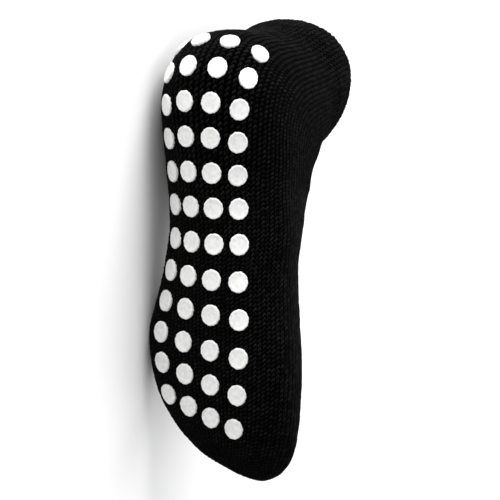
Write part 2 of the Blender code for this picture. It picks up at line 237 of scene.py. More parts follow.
# rings spaced by the cloth's own length, from the tip of the toe to the rim
measuring = {
    "nearTip": 0.99995,      # how close the first ring comes to the tip
    "tipSteps": 420,
    "bodySteps": 700,
    "lines": 96,
    "shares": {0: 0.45, 48: 0.15, 24: 0.2, 72: 0.2},     # sole, upper, inner and outer line
}
tipTurns = np.linspace(math.asin(measuring["nearTip"]), 0.0, measuring["tipSteps"])
bodySteps = np.linspace(toeReach, formKnots[-1], measuring["bodySteps"])[1:]
finding = np.concatenate([toeReach * (1.0 - np.sin(tipTurns)), bodySteps])
guides = formRings(finding, measuring["lines"])
guides[:, :, 0] *= form["footLength"] / guides[:, :, 0].max()
steps = np.linalg.norm(np.diff(guides, axis=0), axis=2)
length = sum(share * steps[:, line] for line, share in measuring["shares"].items())
tipGaps = [np.linalg.norm(guides[0, k] - guides[0].mean(axis=0)) for k in sorted(measuring["shares"])]
tipGap = 0.25 * sum(tipGaps)
clothRun = tipGap + np.concatenate([[0.0], np.cumsum(length)])
bodyCourses = int(round((clothRun[-1] - knit["toeCapReach"]) / knit["courseHeight"]))
bodyRows = bodyCourses * knit["rowsPerCourse"]
capRuns = knit["toeCapReach"] * np.arange(1, capRings) / capRings
bodyRuns = np.linspace(knit["toeCapReach"], clothRun[-1], bodyRows + 1)
rowRuns = np.concatenate([capRuns, bodyRuns])
stations = np.interp(rowRuns, clothRun, finding)
smooth = formRings(stations, columns)
smooth[:, :, 0] *= form["footLength"] / smooth[:, :, 0].max()
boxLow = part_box("knit_sock")[0]
toWorld = np.array([boxLow[0], boxLow[1], 0.0])
smooth += toWorld - np.array([smooth[:, :, 0].min(), smooth[:, :, 1].min(), 0.0])
rowCount = len(smooth)
firstCourse = capRings - 1   # row of the first full course
print("form:", rowCount, "rows,", bodyCourses, "courses,", columns, "columns")


def outwardNormals(grid):
    along = np.gradient(grid, axis=0)
    across = np.roll(grid, -1, axis=1) - np.roll(grid, 1, axis=1)
    normals = np.cross(along, across)
    normals /= np.maximum(np.linalg.norm(normals, axis=2, keepdims=True), 1e-12)
    if np.sum(normals * (grid - grid.mean(axis=1, keepdims=True))) < 0.0:
        normals = -normals
    return normals


normals = outwardNormals(smooth)
turns = np.arange(columns) / columns
signedTurns = np.where(turns > 0.5, turns - 1.0, turns)
girth = np.sum(np.linalg.norm(np.roll(smooth, -1, axis=1) - smooth, axis=2), axis=1)
soleHalf = np.abs(signedTurns) <= knit["sideLine"]
rowCourses = (np.arange(rowCount) - firstCourse) / knit["rowsPerCourse"]


def smoothStep(low, high, value):
    t = np.clip((value - low) / (high - low), 0.0, 1.0)
    return t * t * (3.0 - 2.0 * t)


def waleAt(turn, narrowing, fromSole):
    # wales keep their width over the toe and end at its side lines
    over = np.where(turn < 0.0, turn + 1.0, turn)
    return knit["wales"] * np.where(fromSole, turn * narrowing, 0.5 + (over - 0.5) * narrowing)


narrowing = np.minimum(1.0, girth / girth[firstCourse])
narrowing[firstCourse:] = 1.0
wales = waleAt(signedTurns[None, :], narrowing[:, None], soleHalf[None, :])
courses = np.repeat(rowCourses[:, None], columns, axis=1)


def stitchHeight(u, v, spread, opening):
    # plain stitches: two slanted legs that nest into the next stitch, 0 in the groove and 1 on top
    perWale, jitter, jitterTurn, perCourse = knit["offLineTurns"]
    swayCourse, swayWale = knit["swayTurns"]
    tilt = math.radians(knit["legTilt"]) * opening
    best = np.zeros(np.broadcast(u, v).shape)
    wobble = perWale * np.floor(u) + jitter * np.sin(jitterTurn * np.floor(u)) + perCourse * v
    v = v + knit["offLine"] * np.sin(wobble)
    u = u + knit["sway"] * np.sin(swayCourse * v + swayWale * np.floor(u))
    for shift in (-1, 0, 1):
        for leg in (-1.0, 1.0):
            for beside in (0, 1) if leg < 0.0 else (-1, 0):
                across = (u - np.floor(u) - 0.5 - leg * knit["legApart"] - beside) * knit["waleWidth"]
                along = (v - np.floor(v) - 0.5 - shift - leg * knit["legAhead"]) * knit["courseHeight"]
                lean = leg * tilt
                side = across * np.cos(lean) + along * np.sin(lean)
                run = np.abs(along * np.cos(lean) - across * np.sin(lean))
                inside = 1.0 - (side / knit["legWide"]) ** 2 - opening * (run / knit["legLong"]) ** 3
                best = np.maximum(best, np.sqrt(np.maximum(inside, 0.0)))
    ribbed = (0.5 - 0.5 * np.cos(2.0 * math.pi * u)) ** knit["ribRound"]
    waleTurn, courseTurn = knit["chanceTurns"]
    chance = np.sin(waleTurn * np.floor(u) + courseTurn * np.floor(v)) * knit["chanceScale"]
    size = 1.0 - knit["uneven"] * (chance - np.floor(chance))
    left = knit["waleGap"][0] + (knit["waleGap"][1] - knit["waleGap"][0]) * spread
    return best * size * (left + (1.0 - left) * ribbed)


# cloth relief over the smooth form
apart = knit["rowsPerCourse"]
nearRow = np.clip(np.arange(rowCount) - apart // 2, 0, rowCount - 1)
farRow = np.clip(np.arange(rowCount) + apart // 2, 0, rowCount - 1)
spacing = np.linalg.norm(smooth[farRow] - smooth[nearRow], axis=2) * apart / (farRow - nearRow)[:, None]
spacing[:firstCourse] = np.maximum(spacing[:firstCourse], knit["courseHeight"])
leastOpen, addedOpen = knit["openShares"]
courseOpen = leastOpen + addedOpen * smoothStep(*knit["courseOpening"], spacing)
leastRelief, addedRelief = knit["reliefShares"]
fade = leastRelief + addedRelief * courseOpen
fromSole = np.abs(signedTurns)
onSide = smoothStep(*knit["pulledFrom"], fromSole) * (1.0 - smoothStep(*knit["pulledTo"], fromSole))
courseOpen = courseOpen * (1.0 - knit["pulled"] * onSide[None, :])
spread = smoothStep(*knit["waleSpread"], girth / knit["wales"])[:, None]
stitch = stitchHeight(wales, courses, spread, courseOpen)
height = fade * (stitch * knit["relief"]) - knit["sink"] * fade

# linked closing over the toes and the narrowing lines beside it
fromSide = np.abs(fromSole[None, :] - knit["sideLine"]) * girth[:, None]
capShare = np.clip(1.0 - np.arange(rowCount) / firstCourse, 0.0, 1.0)[:, None]
linked = smoothStep(*knit["linkFrom"], capShare)
ridge = np.exp(-(fromSide / knit["linkWidth"]) ** 2) * linked
height = height * (1.0 - ridge) + knit["linkRidge"] * ridge
narrowed = smoothStep(*knit["seamFrom"], capShare)
groove = np.exp(-(fromSide / knit["seamWidth"]) ** 2) * narrowed * (1.0 - linked)
height -= knit["seamGroove"] * groove

# slow unevenness of the worn cloth
wanderWaves = [              # strength, then two waves: radians per metre along x, y and z, and start
    (1.0, (83.0, 0.0, 61.0, 1.3), (0.0, 71.0, -47.0, 0.4)),
    (0.6, (173.0, -131.0, 0.0, 2.1), (97.0, 0.0, 149.0, 0.9)),
]


def surfaceWave(wave):
    x, y, z = smooth[:, :, 0], smooth[:, :, 1], smooth[:, :, 2]
    return np.sin(wave[0] * x + wave[1] * y + wave[2] * z + wave[3])


wander = sum(strength * surfaceWave(one) * surfaceWave(other) for strength, one, other in wanderWaves)
height += knit["wander"] * wander

# turned welt, raised over the leg
fromRim = (bodyRuns[-1] - rowRuns)[:, None]
welt = smoothStep(knit["weltHeight"] + knit["weltStep"], knit["weltHeight"], fromRim)
height = height + welt * knit["weltRaise"]

# soft creases, each along a few points of the surface:
# distance from the heel, height over the sole and height over the floor
creases = {
    "ankleUpper": {"depth": 0.0010, "width": 0.0034,
                   "points": [(0.069, 0.107, 0.076), (0.080, 0.1065, 0.070), (0.0925, 0.1065, 0.062),
                              (0.1015, 0.106, 0.045), (0.099, 0.107, 0.028)]},
    "ankleLower": {"depth": 0.0008, "width": 0.0034,
                   "points": [(0.078, 0.097, 0.076), (0.0955, 0.0965, 0.070), (0.1045, 0.096, 0.062),
                              (0.106, 0.096, 0.044), (0.104, 0.097, 0.024)]},
    "instep": {"depth": 0.0012, "width": 0.0040,
               "points": [(0.080, 0.083, 0.0795), (0.0965, 0.083, 0.0758), (0.105, 0.083, 0.070),
                          (0.1105, 0.083, 0.061), (0.117, 0.084, 0.044)]},
    "instepFold": {"depth": -0.0010, "width": 0.0045,
                   "points": [(0.092, 0.072, 0.080), (0.1045, 0.0715, 0.0775), (0.113, 0.072, 0.073)]},
    "heelCord": {"depth": 0.0009, "width": 0.0045,
                 "points": [(0.016, 0.070, 0.068), (0.006, 0.074, 0.050), (0.006, 0.077, 0.034)]},
}
creaseShape = {
    "steps": 24,
    "margin": 0.02,          # how far from its line a crease is worked out
    "ends": (0.02, 0.98),
    "taper": 0.6,
    "shoulder": 0.35,        # soft rise beside the trough
}


def creaseDip(crease):
    points = np.array(crease["points"]) + toWorld
    at = np.linspace(0.0, len(points) - 1.0, creaseShape["steps"])
    line = naturalSpline(np.arange(float(len(points))), points, at)
    ends = np.sin(np.pi * np.clip(at / at[-1], *creaseShape["ends"])) ** creaseShape["taper"]
    low, high = line.min(axis=0) - creaseShape["margin"], line.max(axis=0) + creaseShape["margin"]
    near = np.all((smooth > low) & (smooth < high), axis=2)
    dip = np.zeros(near.shape)
    gap = np.linalg.norm(smooth[near][:, None, :] - line[None, :, :], axis=2)
    trough = np.exp(-(gap / crease["width"]) ** 2)
    beside = np.exp(-((gap - 2.0 * crease["width"]) / crease["width"]) ** 2)
    profile = trough - creaseShape["shoulder"] * beside
    dip[near] = crease["depth"] * np.max(profile * ends[None, :], axis=1)
    return dip


for crease in creases.values():
    height -= creaseDip(crease)


def liftOff(points, low):
    points = points.copy()
    points[..., 2] = np.maximum(points[..., 2], low)
    return points


outer = liftOff(smooth + normals * height[:, :, None], 0.0)

# the inside, with low loops along each course
purl = 0.5 + 0.5 * np.cos(2.0 * np.pi * courses) * (0.6 + 0.4 * np.cos(4.0 * np.pi * wales))
wall = knit["wall"] - knit["innerRelief"] * purl * fade
inner = liftOff(smooth - normals * wall[:, :, None], knit["wall"])
reliefRange = [round(float(value) * 1000, 2) for value in (height.min(), height.max())]
print("cloth: relief", reliefRange[0], "to", reliefRange[1], "mm")


def nothingSelected():
    if bpy.context.object and bpy.context.object.mode != "OBJECT":
        bpy.ops.object.mode_set(mode="OBJECT")
    bpy.ops.object.select_all(action="DESELECT")


def onlySelected(piece):
    nothingSelected()
    bpy.context.view_layer.objects.active = piece
    piece.select_set(True)


def clothGrid(name, across, down):
    # a flat grid, one face for each step of the knit, that is then wrapped to shape
    nothingSelected()
    bpy.ops.mesh.primitive_grid_add(x_subdivisions=across, y_subdivisions=down, size=1.0, calc_uvs=True)
    cloth = bpy.context.object
    cloth.name = cloth.data.name = name
    return cloth


def readPoints(piece):
    points = np.zeros(3 * len(piece.data.vertices), dtype=np.float32)
    piece.data.vertices.foreach_get("co", points)
    return points.reshape(-1, 3)


def setPoints(piece, points):
    piece.data.vertices.foreach_set("co", np.ascontiguousarray(points, dtype=np.float32).ravel())
    piece.data.update()


def setUvs(piece, uvs):
    layer = piece.data.uv_layers[0]
    layer.name = "stitches"
    layer.data.foreach_set("uv", np.ascontiguousarray(uvs, dtype=np.float32).ravel())


def cornerPoints(piece):
    corners = np.zeros(len(piece.data.loops), dtype=np.int32)
    piece.data.loops.foreach_get("vertex_index", corners)
    return corners


def setPaintedGrooveShade(piece, values):
    # how high each point stands in the knit, 0 in the grooves, for the painted shade that darkens the
    # yarn's colour in its grooves
    layer = piece.data.attributes.new("relief", "FLOAT", "POINT")
    layer.data.foreach_set("value", np.ascontiguousarray(values, dtype=np.float32).ravel())


def weldSeams(piece):
    onlySelected(piece)
    bpy.ops.object.mode_set(mode="EDIT")
    bpy.ops.mesh.select_mode(type="VERT")
    bpy.ops.mesh.select_all(action="DESELECT")
    bpy.ops.mesh.select_non_manifold(extend=False)
    bpy.ops.mesh.remove_doubles(threshold=knit["weld"])
    bpy.ops.object.mode_set(mode="OBJECT")


def outwards(piece):
    shape = bmesh.new()
    shape.from_mesh(piece.data)
    if shape.calc_volume(signed=True) < 0.0:
        bmesh.ops.reverse_faces(shape, faces=shape.faces)
    shape.to_mesh(piece.data)
    shape.free()


def finishCloth(piece):
    onlySelected(piece)
    bpy.ops.object.shade_smooth()
    piece.data.materials.clear()
    piece.data.materials.append(yarn)
    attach(piece, "root")
    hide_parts("knit_sock")


# yarn: thick black acrylic, matt with a faint nap that shows at a glancing angle
yarnLook = {
    # groove and crown colours: painted shade, the black yarn darkened from the top of a stitch down into
    # its grooves
    "groove": (0.0001, 0.0001, 0.0001),
    "crown": (0.0280, 0.0280, 0.0290),
    "grooveShadeContrast": 2.8,         # how fast the painted shade darkens the yarn down into its grooves
    "patchy": 0.45,
    "roughness": (0.80, 0.95),
    "specular": 0.003,
    "sheen": 0.012,
    "sheenRoughness": 0.30,
    "twistPerStitch": 3.5,
    "twistDepth": 0.00009,
    "fibreScale": 2600.0,
    "fibreDepth": 0.00006,
    "cloudScale": 260.0,
}


def newMaterial(name):
    material = bpy.data.materials.new(name)
    material.use_nodes = True
    nodes, links = material.node_tree.nodes, material.node_tree.links
    return material, nodes, links, nodes["Principled BSDF"]


def mathNode(nodes, links, operation, first, second=None):
    node = nodes.new("ShaderNodeMath")
    node.operation = operation
    for socket, value in zip(node.inputs, (first, second)):
        if value is None:
            continue
        if isinstance(value, (int, float)):
            socket.default_value = value
        else:
            links.new(value, socket)
    return node.outputs[0]


def noiseNode(nodes, links, place, scale, detail):
    noise = nodes.new("ShaderNodeTexNoise")
    noise.inputs["Scale"].default_value = scale
    noise.inputs["Detail"].default_value = detail
    links.new(place.outputs["Object"], noise.inputs["Vector"])
    return noise.outputs[0]


def bumpNode(nodes, links, depth, height, under=None):
    bump = nodes.new("ShaderNodeBump")
    bump.inputs["Distance"].default_value = depth
    links.new(height, bump.inputs["Height"])
    if under is not None:
        links.new(under, bump.inputs["Normal"])
    return bump.outputs[0]


def toneNode(nodes, links, dark, light, share):
    tone = nodes.new("ShaderNodeMix")
    tone.data_type = "RGBA"
    tone.inputs["A"].default_value = (*dark, 1.0)
    tone.inputs["B"].default_value = (*light, 1.0)
    links.new(share, tone.inputs["Factor"])
    return tone.outputs["Result"]


def rangeNode(nodes, links, value, low=0.0, high=1.0, least=0.0, most=1.0):
    spread = nodes.new("ShaderNodeMapRange")
    for name, number in (("From Min", low), ("From Max", high), ("To Min", least), ("To Max", most)):
        spread.inputs[name].default_value = number
    links.new(value, spread.inputs["Value"])
    return spread.outputs[0]


def yarnMaterial():
    material, nodes, links, surface = newMaterial("blackYarn")
    uv = nodes.new("ShaderNodeUVMap")
    uv.uv_map = "stitches"
    split = nodes.new("ShaderNodeSeparateXYZ")
    links.new(uv.outputs["UV"], split.inputs[0])
    beside = mathNode(nodes, links, "PINGPONG", split.outputs[0], 0.5)      # distance from the wale's edge
    slope = mathNode(nodes, links, "MULTIPLY", beside, 2.0)
    phase = mathNode(nodes, links, "ADD", split.outputs[1], slope)
    turned = mathNode(nodes, links, "MULTIPLY", phase, 2.0 * math.pi * yarnLook["twistPerStitch"])
    twist = mathNode(nodes, links, "SINE", turned)
    place = nodes.new("ShaderNodeTexCoord")
    fibre = noiseNode(nodes, links, place, yarnLook["fibreScale"], 2.0)
    cloud = noiseNode(nodes, links, place, yarnLook["cloudScale"], 3.0)
    # painted shade: the stitch height darkens the base colour down into the grooves
    relief = nodes.new("ShaderNodeAttribute")
    relief.attribute_name = "relief"
    raised = mathNode(nodes, links, "POWER", relief.outputs["Fac"], yarnLook["grooveShadeContrast"])
    patchy = mathNode(nodes, links, "MULTIPLY", cloud, 2.0 * yarnLook["patchy"])
    patchy = mathNode(nodes, links, "ADD", patchy, 1.0 - yarnLook["patchy"])
    paintedLightShare = mathNode(nodes, links, "MULTIPLY", raised, patchy)
    tone = toneNode(nodes, links, yarnLook["groove"], yarnLook["crown"], paintedLightShare)
    links.new(tone, surface.inputs["Base Color"])
    smoothest, dullest = yarnLook["roughness"]
    dull = rangeNode(nodes, links, fibre, least=dullest, most=smoothest)
    links.new(dull, surface.inputs["Roughness"])
    surface.inputs["Specular IOR Level"].default_value = yarnLook["specular"]
    surface.inputs["Sheen Weight"].default_value = yarnLook["sheen"]
    surface.inputs["Sheen Roughness"].default_value = yarnLook["sheenRoughness"]
    ply = bumpNode(nodes, links, yarnLook["twistDepth"], twist)
    fuzz = bumpNode(nodes, links, yarnLook["fibreDepth"], fibre, under=ply)
    links.new(fuzz, surface.inputs["Normal"])
    return material


yarn = yarnMaterial()


# the toe: a square grid laid over the tip, each square ring of it one ring of the form
def toePoints(rings, tip):
    reach = capRings
    span = np.arange(2 * reach + 1) - reach
    b, a = np.meshgrid(span, span, indexing="ij")
    k = np.maximum(np.abs(a), np.abs(b))
    safe = np.maximum(k, 1)
    step = np.where(b == -k, a, np.where(a == k, 2 * k + b, np.where(b == k, 4 * k - a, -2 * k - b)))
    step = np.where((a == -k) & (b != -k) & (b != k), 6 * k - b, step)
    turn = (step / (8.0 * safe)) % 1.0
    at = turn * columns
    low = np.floor(at).astype(int) % columns
    part = (at - np.floor(at))[..., None]
    row = safe - 1
    values = rings[row, low] * (1.0 - part) + rings[row, (low + 1) % columns] * part
    values[k == 0] = tip
    return values.reshape(-1, values.shape[-1]), k.ravel(), turn.ravel()


def knitToe():
    nearTip = outer[0].mean(axis=0)
    outRow = smooth[firstCourse - knit["rowsPerCourse"]:firstCourse].mean(axis=(0, 1)) - nearTip
    ahead = -outRow / np.linalg.norm(outRow)
    outerTip = smooth[0].mean(axis=0) + ahead * height[0].mean()
    innerTip = smooth[0].mean(axis=0) - ahead * knit["wall"]
    parts = []
    for name, skin, tip in (("toeOuter", outer, outerTip), ("toeInner", inner, innerTip)):
        cloth = clothGrid(name, 2 * capRings, 2 * capRings)
        points, rings, turn = toePoints(skin, tip)
        setPoints(cloth, points)
        signed = np.where(turn > 0.5, turn - 1.0, turn)
        corners = cornerPoints(cloth)
        ring = rings[corners]
        row = np.maximum(ring, 1) - 1
        cornerTurn = signed[corners]
        middle = np.abs(cornerTurn).reshape(-1, 4).mean(axis=1)
        fromSole = np.repeat(middle <= knit["sideLine"], 4)
        u = waleAt(cornerTurn, narrowing[row], fromSole)
        v = (ring - capRings) / knit["rowsPerCourse"]
        setUvs(cloth, np.stack([u, v], axis=1))
        # the inside and the tip take set levels of the painted groove shade, the outside its stitch height
        shades = np.full(len(points), knit["innerShade"])
        if name == "toeOuter":
            shades = toePoints(stitch[:, :, None], np.array([knit["tipShade"]]))[0]
        setPaintedGrooveShade(cloth, shades)
        parts.append(cloth)
    nothingSelected()
    for cloth in parts:
        cloth.select_set(True)
    bpy.context.view_layer.objects.active = parts[0]
    bpy.ops.object.join()
    toe = bpy.context.object
    toe.name = toe.data.name = "knitToe"
    bpy.ops.object.mode_set(mode="EDIT")
    bpy.ops.mesh.select_mode(type="EDGE")
    bpy.ops.mesh.select_all(action="DESELECT")
    bpy.ops.mesh.select_non_manifold(extend=False)
    bpy.ops.mesh.bridge_edge_loops(type="PAIRS")
    bpy.ops.mesh.select_all(action="SELECT")
    bpy.ops.mesh.normals_make_consistent(inside=False)
    bpy.ops.object.mode_set(mode="OBJECT")
    outwards(toe)
    return toe


def endEdges(piece, ringSets):
    # the cut end of a length of cloth stays sharp, so that the next length meets it evenly
    count = len(piece.data.edges)
    ends = np.zeros(2 * count, dtype=np.int32)
    piece.data.edges.foreach_get("vertices", ends)
    ends = ends.reshape(-1, 2)
    points = readPoints(piece)
    sharp = np.zeros(count, dtype=bool)
    for ring in ringSets:
        keys = {tuple(np.round(point, 6)) for point in ring.astype(np.float32)}
        on = np.array([tuple(point) in keys for point in np.round(points, 6)])
        sharp |= on[ends[:, 0]] & on[ends[:, 1]]
    piece.data.edges.foreach_set("use_edge_sharp", sharp)


def rimRows(count):
    # rounded edge of the turned welt, from the outer to the inner side
    along = smooth[-1] - smooth[-3]
    along /= np.linalg.norm(along, axis=1, keepdims=True)
    rows, reliefs = [], []
    for k in range(1, count):
        turn = math.pi * k / count
        share = 0.5 - 0.5 * math.cos(turn)
        level = height[-1] * (1.0 - share) - knit["wall"] * share
        point = smooth[-1] + normals[-1] * level[:, None] + along * (knit["rimCrown"] * math.sin(turn))
        low = knit["wall"] * share
        rows.append(liftOff(point, low))
        reliefs.append(np.full(columns, knit["rimShade"]))
    return rows, reliefs


def knitLength(name, start, end, innerStep, rim=False):
    # one length of the knitted tube: outer rows, the way round its end and the inner rows back
    outRows = list(range(start, end + 1))
    backRows = list(range(end, start - 1, -innerStep))
    if backRows[-1] != start:
        backRows.append(start)
    rings = [outer[r] for r in outRows]
    reliefs = [stitch[r] for r in outRows]
    levels = [rowCourses[r] for r in outRows]
    if rim:
        points, shades = rimRows(knit["rimSteps"])
        rings += points
        reliefs += shades
        levels += [rowCourses[-1] + knit["rimCourse"] * (k + 1) for k in range(len(points))]
    rings += [inner[r] for r in backRows]
    reliefs += [np.full(columns, knit["innerShade"]) for r in backRows]
    levels += [rowCourses[r] for r in backRows]
    rings.append(rings[0])
    reliefs.append(reliefs[0])
    levels.append(levels[0])
    cloth = clothGrid(name, columns, len(rings) - 1)
    grid = np.array(rings)
    grid = np.concatenate([grid, grid[:, :1]], axis=1)
    shade = np.array(reliefs)
    shade = np.concatenate([shade, shade[:, :1]], axis=1)
    setPoints(cloth, grid)
    corners = cornerPoints(cloth)
    u = (corners % (columns + 1)) / knit["columnsPerWale"]
    v = np.array(levels)[corners // (columns + 1)]
    setUvs(cloth, np.stack([u, v], axis=1))
    setPaintedGrooveShade(cloth, shade)
    weldSeams(cloth)
    outwards(cloth)
    ends = [outer[start], inner[start]] + ([] if rim else [outer[end], inner[end]])
    endEdges(cloth, ends)
    return cloth


lengths = {                  # from and to, in shares of the body's courses, and rows a course inside
    "knitBall": (0.00, 0.27, 1),
    "knitArch": (0.27, 0.52, 1),
    "knitHeel": (0.52, 0.76, 1),
    "knitLeg": (0.76, 1.00, 2),
}
sockPieces = [knitToe()]
endEdges(sockPieces[0], [outer[firstCourse], inner[firstCourse]])
for name, (low, high, fineness) in lengths.items():
    start = firstCourse + int(round(low * bodyCourses)) * knit["rowsPerCourse"]
    end = firstCourse + int(round(high * bodyCourses)) * knit["rowsPerCourse"]
    innerStep = knit["rowsPerCourse"] // fineness
    sockPieces.append(knitLength(name, start, end, innerStep, rim=name == "knitLeg"))
for piece in sockPieces:
    finishCloth(piece)
    print("cloth:", piece.name, len(piece.data.polygons), "faces")


# printed grips: white silicone, one flat oval laid on the sole in twelve rows
gripLook = {
    "white": (0.80, 0.80, 0.785),
    "shade": (0.70, 0.70, 0.69),
    "roughness": (0.42, 0.60),
    "width": 0.0115,
    "oval": 1.10,            # length over width
    "perRow": 4,
    "thick": 0.0012,
    "bed": 0.0001,           # its underside over the smooth form
    "skirt": 0.0006,         # how deep its edge sinks between the stitches
    "outlinePoints": 60,
    "unevenEdge": 0.00026,
    "edgeRadius": 0.00060,
    "dish": 0.24,            # the middle dries a little lower than the edge
    "dishFrom": (0.0006, 0.0026),
    "dimple": 0.00010,
    "wallShare": 0.45,       # height of the upright edge under the rounded one, share of the thickness
    "shoulder": 0.40,        # where the rounded edge starts, and how far it climbs
    "crown": 0.60,
    "ringScales": (0.975, 0.965, 0.95, 0.93, 0.90, 0.86, 0.80, 0.70, 0.50),
    "ringCentre": (0.0, 0.0005, 0.0),
    "edgeWaves": ((9.0, 2.3), (14.0, 4.1), (23.0, 1.7)),     # waves round a grip, and its own start
    "edgeFrom": (0.5, 1.0),
    "leastRadius": 0.001,
    "offFloor": 0.0001,
    "flatLimit": 0.00001,    # what lies lower is the underside
    "smoothAngle": 50.0,
    "specular": 0.45,
    "mottleScale": 420.0,
    "mottleRange": (0.35, 0.60),
    "mottleDepth": 0.00015,
    "grainScale": 2400.0,
    "grainDepth": 0.00003,
}
# distance from the heel in foot lengths, then middle of the row and pitch in ball widths
gripRows = [
    (0.067, 0.000, 0.200),
    (0.147, -0.001, 0.200),
    (0.227, -0.010, 0.180),
    (0.306, -0.018, 0.170),
    (0.386, -0.023, 0.160),
    (0.466, -0.035, 0.155),
    (0.546, -0.047, 0.155),
    (0.626, -0.060, 0.165),
    (0.705, -0.074, 0.180),
    (0.785, -0.086, 0.190),
    (0.865, -0.095, 0.185),
    (0.945, -0.101, 0.165),
]


def gripOutline():
    # a plain oval dot in radii, from its heel end round
    turn = np.linspace(0.0, 2.0 * math.pi, gripLook["outlinePoints"], endpoint=False)
    return np.stack([-np.sin(turn), gripLook["oval"] * np.cos(turn)], axis=1)


def flatGrip():
    nothingSelected()
    outline = gripOutline() * 0.5 * gripLook["width"]
    radius = 0.5 * gripLook["width"]
    bpy.ops.mesh.primitive_circle_add(vertices=len(outline), radius=radius, fill_type="NGON")
    grip = bpy.context.object
    setPoints(grip, np.column_stack([outline, np.zeros(len(outline))]))
    bpy.ops.object.mode_set(mode="EDIT")
    bpy.ops.mesh.select_mode(type="FACE")
    bpy.ops.mesh.select_all(action="SELECT")
    rise = gripLook["wallShare"] * gripLook["thick"]
    bpy.ops.mesh.extrude_region_move(TRANSFORM_OT_translate={"value": (0.0, 0.0, rise)})
    for scale in gripLook["ringScales"]:
        bpy.ops.mesh.extrude_region_move(TRANSFORM_OT_translate={"value": (0.0, 0.0, 0.0)})
        bpy.ops.transform.resize(value=(scale, scale, 1.0), center_override=gripLook["ringCentre"])
    bpy.ops.mesh.poke()
    bpy.ops.object.mode_set(mode="OBJECT")
    flat = readPoints(grip)
    top = flat[:, 2] > gripLook["flatLimit"]
    ends = np.roll(outline, -1, axis=0)
    edge = ends - outline
    reach = np.einsum("ijk,jk->ij", flat[:, None, :2] - outline[None], edge)
    share = reach / np.sum(edge * edge, axis=1)
    nearest = outline[None] + np.clip(share, 0.0, 1.0)[:, :, None] * edge[None]
    fromEdge = np.min(np.linalg.norm(flat[:, None, :2] - nearest, axis=2), axis=1)
    inwards = np.clip(fromEdge / gripLook["edgeRadius"], 0.0, 1.0)
    rounded = gripLook["shoulder"] + gripLook["crown"] * np.sqrt(1.0 - (1.0 - inwards) ** 2)
    dished = gripLook["dish"] * smoothStep(*gripLook["dishFrom"], fromEdge)
    flat[top, 2] = gripLook["thick"] * (rounded - dished)[top]
    setPoints(grip, flat)
    return grip


soleRun = np.concatenate([[0.0], np.cumsum(np.linalg.norm(np.diff(smooth[:, 0], axis=0), axis=1))])
heelRun = soleRun[int(np.argmin(smooth[:, 0, 0] + 0.001 * smooth[:, 0, 1]))]


def formAt(field, row, turn):
    row = np.clip(row, 0.0, rowCount - 1.001)
    at = (turn % 1.0) * columns
    r, c = row.astype(int), np.floor(at).astype(int) % columns
    d = (c + 1) % columns
    fr, fc = (row - r)[:, None], (at - np.floor(at))[:, None]
    near = field[r, c] * (1.0 - fc) + field[r, d] * fc
    far = field[r + 1, c] * (1.0 - fc) + field[r + 1, d] * fc
    return near * (1.0 - fr) + far * fr


laying = {
    "rowStep": 2.0,          # over how many rows, and how much of a turn, the sole's slope is taken
    "turnStep": 0.01,
}


def layGrip(grip, along, offset, seed):
    row = np.interp(heelRun - along, soleRun, np.arange(rowCount))
    around = girth[int(round(row))]
    turn = offset / around
    atRow, atTurn = np.array([row]), np.array([turn])
    rowStep, turnStep = laying["rowStep"], laying["turnStep"]
    rise = formAt(smooth, atRow + rowStep, atTurn) - formAt(smooth, atRow - rowStep, atTurn)
    rise = rise[0] / (2.0 * rowStep)
    swing = formAt(smooth, atRow, atTurn + turnStep) - formAt(smooth, atRow, atTurn - turnStep)
    swing = swing[0] / (2.0 * turnStep)
    heelward = rise / np.linalg.norm(rise)
    across = swing - heelward * np.dot(swing, heelward)
    across /= np.linalg.norm(across)
    base = np.array([rise, swing]).T
    flat = readPoints(grip).astype(float)
    radius = np.hypot(flat[:, 0], flat[:, 1])
    angle = np.arctan2(flat[:, 1], flat[:, 0])
    waves = [np.sin(count * angle + start * seed) for count, start in gripLook["edgeWaves"]]
    uneven = sum(waves) / len(waves)
    edge = smoothStep(*gripLook["edgeFrom"], radius / (0.5 * gripLook["width"]))
    stretch = 1.0 + edge * gripLook["unevenEdge"] * uneven / np.maximum(radius, gripLook["leastRadius"])
    target = flat[:, 0:1] * stretch[:, None] * across + flat[:, 1:2] * stretch[:, None] * heelward
    move = np.linalg.lstsq(base, target.T, rcond=None)[0]
    rows, shares = row + move[0], turn + move[1]
    normal = formAt(normals, rows, shares)
    normal /= np.linalg.norm(normal, axis=1, keepdims=True)
    under = flat[:, 2] <= gripLook["flatLimit"]
    knitBelow = formAt((stitch * fade)[:, :, None], rows, shares)[:, 0]
    over = gripLook["bed"] + flat[:, 2] + gripLook["dimple"] * (knitBelow - 0.5)
    level = np.where(under, -gripLook["skirt"], over)
    points = formAt(smooth, rows, shares) + normal * level[:, None]
    setPoints(grip, liftOff(points, gripLook["offFloor"]))


def gripMaterial():
    material, nodes, links, surface = newMaterial("whiteSilicone")
    place = nodes.new("ShaderNodeTexCoord")
    mottle = noiseNode(nodes, links, place, gripLook["mottleScale"], 3.0)
    grain = noiseNode(nodes, links, place, gripLook["grainScale"], 2.0)
    low, high = gripLook["mottleRange"]
    share = rangeNode(nodes, links, mottle, low=low, high=high)
    tone = toneNode(nodes, links, gripLook["shade"], gripLook["white"], share)
    links.new(tone, surface.inputs["Base Color"])
    least, most = gripLook["roughness"]
    gloss = rangeNode(nodes, links, grain, least=least, most=most)
    links.new(gloss, surface.inputs["Roughness"])
    soft = bumpNode(nodes, links, gripLook["mottleDepth"], mottle)
    fine = bumpNode(nodes, links, gripLook["grainDepth"], grain, under=soft)
    links.new(fine, surface.inputs["Normal"])
    surface.inputs["Specular IOR Level"].default_value = gripLook["specular"]
    return material


